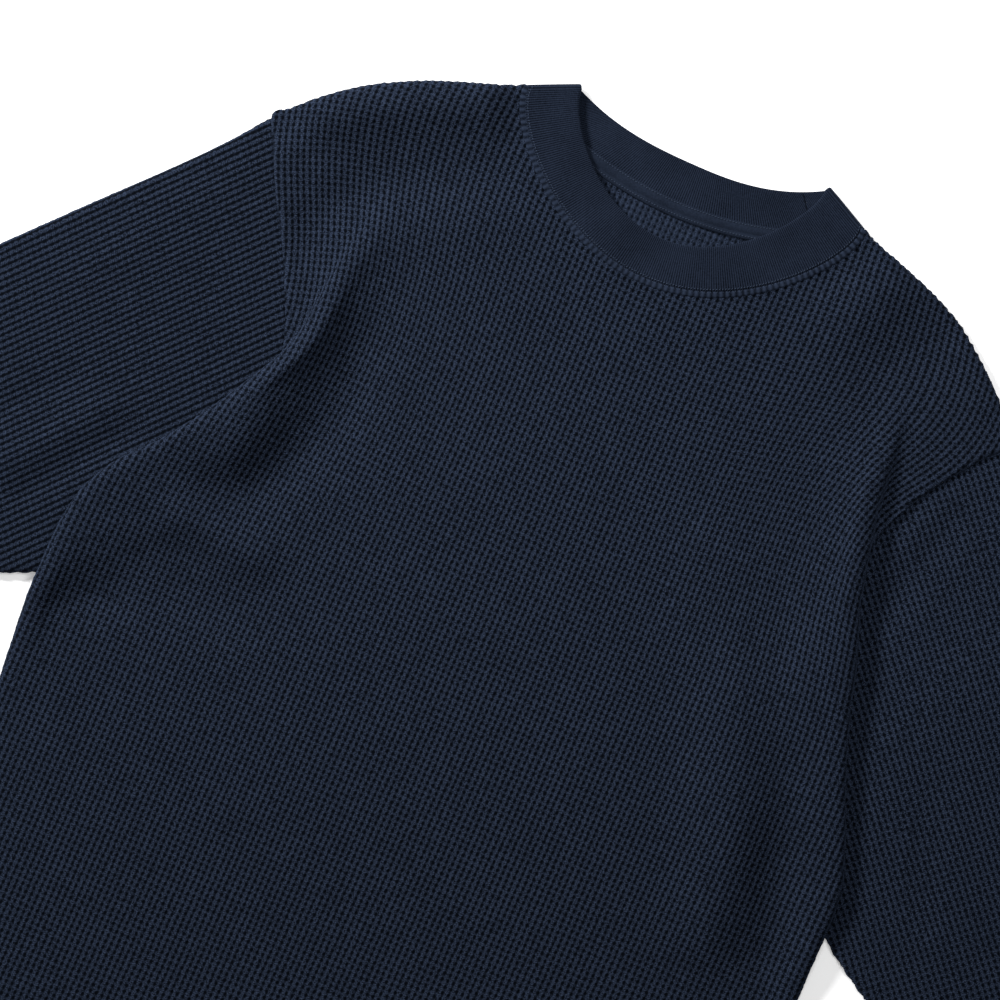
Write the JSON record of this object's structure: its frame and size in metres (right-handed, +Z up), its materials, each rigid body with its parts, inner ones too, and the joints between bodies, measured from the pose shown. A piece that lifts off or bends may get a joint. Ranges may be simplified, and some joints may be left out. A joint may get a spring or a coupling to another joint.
{
  "type": "thermal top",
  "caption": "Long-sleeved crew-neck thermal top in waffle knit, laid flat on its back, with the sleeves turned down and the front folded over the underarms.",
  "frame": {"origin": "on the flat underside of the back panel, on the centre line, halfway between the neck and the hem", "axes": "+Z up from the surface it lies on; +Y towards the neck; +X across the garment, towards the right as seen from above"},
  "size_m": [1.258, 0.7081, 0.0177],
  "materials": {
    "waffle_knit": "matt navy cotton waffle knit with deep square cells",
    "rib_knit": "matt navy cotton rib, one by one",
    "tape_knit": "matt navy plain-knit tape"
  },
  "bodies": {
    "root": {"back": "waffle_knit", "front": "waffle_knit", "sleeve_left": "waffle_knit", "sleeve_right": "waffle_knit", "collar": "rib_knit", "neck_tape": "tape_knit"}
  },
  "joints": []
}
